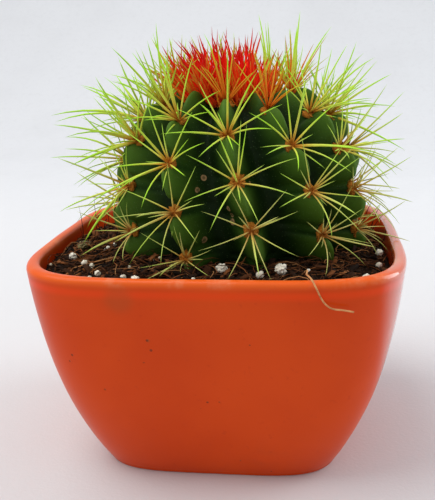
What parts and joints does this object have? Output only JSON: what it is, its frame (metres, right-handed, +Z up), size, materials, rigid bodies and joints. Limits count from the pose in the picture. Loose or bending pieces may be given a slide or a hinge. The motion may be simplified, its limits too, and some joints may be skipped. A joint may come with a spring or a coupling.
{
  "type": "potted round cactus",
  "caption": "Ribbed globe cactus with long lime spines and a red woolly crown, growing in a square glazed orange pot.",
  "frame": {"origin": "centre of the pot's footprint, on the surface it stands on", "axes": "+Z up, the pot's straight sides parallel to X and Y, -Y the front, +X to the right seen from the front"},
  "size_m": [0.1221, 0.1233, 0.1473],
  "materials": {
    "pot_glaze": "gloss",
    "soil": "matte",
    "cactus_skin": "satin",
    "crown_wool": "matte",
    "spines": "satin",
    "perlite": "matte",
    "bark": "matte",
    "dry_fibre": "matte"
  },
  "bodies": {
    "root": {"bark_chip_left": "bark", "bark_chip_rear": "bark", "crown": "crown_wool", "perlite_front_1": "perlite", "perlite_front_2": "perlite", "perlite_left_1": "perlite", "perlite_left_2": "perlite", "perlite_right_1": "perlite", "perlite_right_2": "perlite", "pot": "pot_glaze", "potting_soil": "soil", "root_fibre": "dry_fibre", "spine_cluster_10_1": "spines", "spine_cluster_10_2": "spines", "spine_cluster_10_3": "spines", "spine_cluster_10_4": "spines", "spine_cluster_11_1": "spines", "spine_cluster_11_2": "spines", "spine_cluster_11_3": "spines", "spine_cluster_11_4": "spines", "spine_cluster_11_5": "spines", "spine_cluster_1_1": "spines", "spine_cluster_1_2": "spines", "spine_cluster_1_3": "spines", "spine_cluster_1_4": "spines", "spine_cluster_2_1": "spines", "spine_cluster_2_2": "spines", "spine_cluster_2_3": "spines", "spine_cluster_2_4": "spines", "spine_cluster_3_1": "spines", "spine_cluster_3_2": "spines", "spine_cluster_3_3": "spines", "spine_cluster_3_4": "spines", "spine_cluster_4_1": "spines", "spine_cluster_4_2": "spines", "spine_cluster_4_3": "spines", "spine_cluster_4_4": "spines", "spine_cluster_4_5": "spines", "spine_cluster_5_1": "spines", "spine_cluster_5_2": "spines", "spine_cluster_5_3": "spines", "spine_cluster_5_4": "spines", "spine_cluster_6_1": "spines", "spine_cluster_6_2": "spines", "spine_cluster_6_3": "spines", "spine_cluster_6_4": "spines", "spine_cluster_7_1": "spines", "spine_cluster_7_2": "spines", "spine_cluster_7_3": "spines", "spine_cluster_7_4": "spines", "spine_cluster_7_5": "spines", "spine_cluster_8_1": "spines", "spine_cluster_8_2": "spines", "spine_cluster_8_3": "spines", "spine_cluster_8_4": "spines", "spine_cluster_9_1": "spines", "spine_cluster_9_2": "spines", "spine_cluster_9_3": "spines", "spine_cluster_9_4": "spines", "stem": "cactus_skin"}
  },
  "joints": []
}
